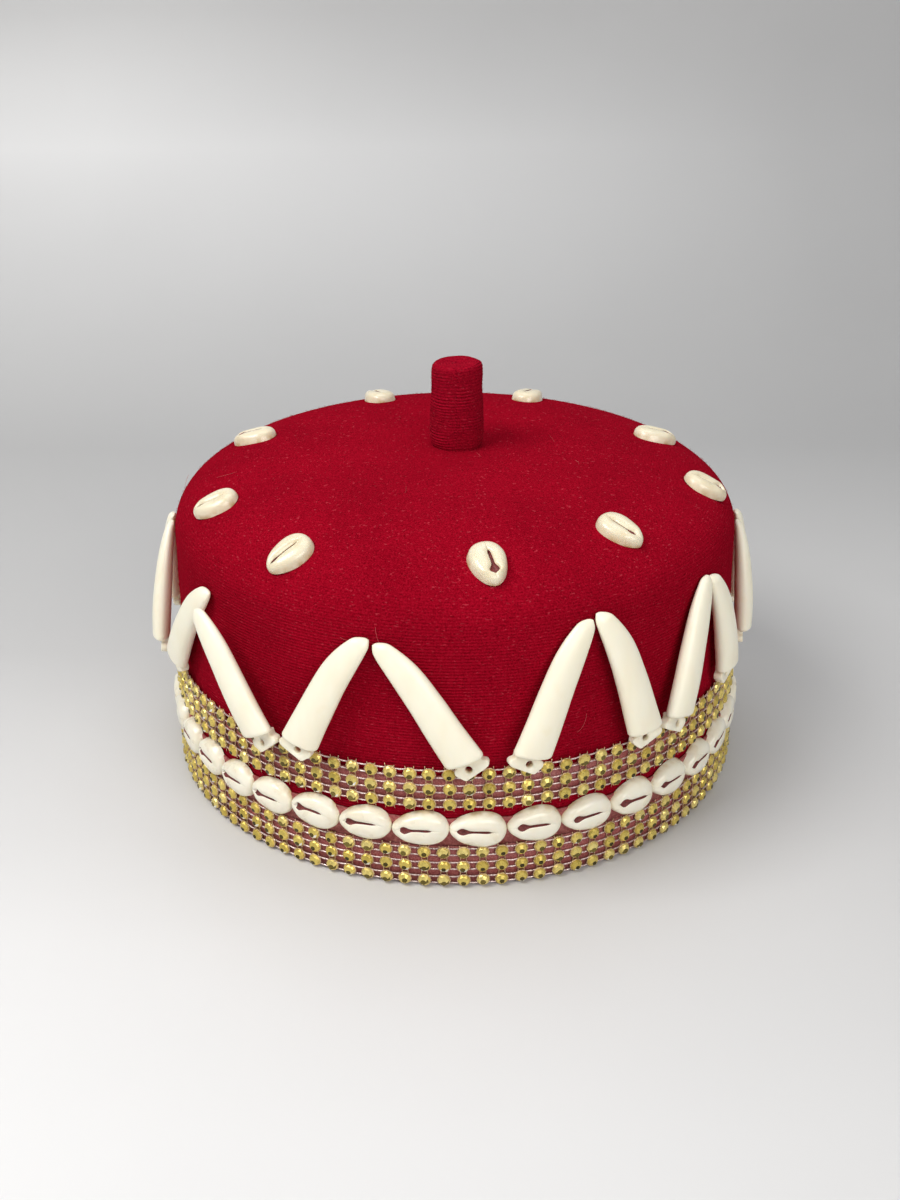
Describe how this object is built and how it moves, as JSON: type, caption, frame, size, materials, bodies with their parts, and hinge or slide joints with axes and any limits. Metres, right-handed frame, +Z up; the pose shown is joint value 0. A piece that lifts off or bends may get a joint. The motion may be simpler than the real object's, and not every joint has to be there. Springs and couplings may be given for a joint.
{
  "type": "igbo chief cap",
  "caption": "Round flat-topped ceremonial cap of crimson felt with a wound stem, gilt stone bands, cowries and paired tusk beads.",
  "frame": {"origin": "on the cap's axis in the plane of its rim, which is the middle of the base of its box", "axes": "+Z up through the stem, -Y out of the front, +X to the wearer's left"},
  "size_m": [0.2026, 0.2026, 0.1288],
  "materials": {
    "felt": "matt",
    "wound_thread": "matt",
    "gold_stones": "gloss",
    "cowrie_shell": "gloss",
    "tusk_horn": "satin"
  },
  "bodies": {
    "root": {"crown": "felt", "stem": "wound_thread", "lower_stone_band": "gold_stones", "upper_stone_band": "gold_stones", "cowrie_ring": "cowrie_shell", "dome_cowrie_01": "cowrie_shell", "dome_cowrie_02": "cowrie_shell", "dome_cowrie_03": "cowrie_shell", "dome_cowrie_04": "cowrie_shell", "dome_cowrie_05": "cowrie_shell", "dome_cowrie_06": "cowrie_shell", "dome_cowrie_07": "cowrie_shell", "dome_cowrie_08": "cowrie_shell", "dome_cowrie_09": "cowrie_shell", "left_tusk_01": "tusk_horn", "right_tusk_01": "tusk_horn", "left_tusk_02": "tusk_horn", "right_tusk_02": "tusk_horn", "left_tusk_03": "tusk_horn", "right_tusk_03": "tusk_horn", "left_tusk_04": "tusk_horn", "right_tusk_04": "tusk_horn", "left_tusk_05": "tusk_horn", "right_tusk_05": "tusk_horn", "left_tusk_06": "tusk_horn", "right_tusk_06": "tusk_horn", "left_tusk_07": "tusk_horn", "right_tusk_07": "tusk_horn", "left_tusk_08": "tusk_horn", "right_tusk_08": "tusk_horn", "left_tusk_09": "tusk_horn", "right_tusk_09": "tusk_horn", "left_tusk_10": "tusk_horn", "right_tusk_10": "tusk_horn"}
  },
  "joints": []
}
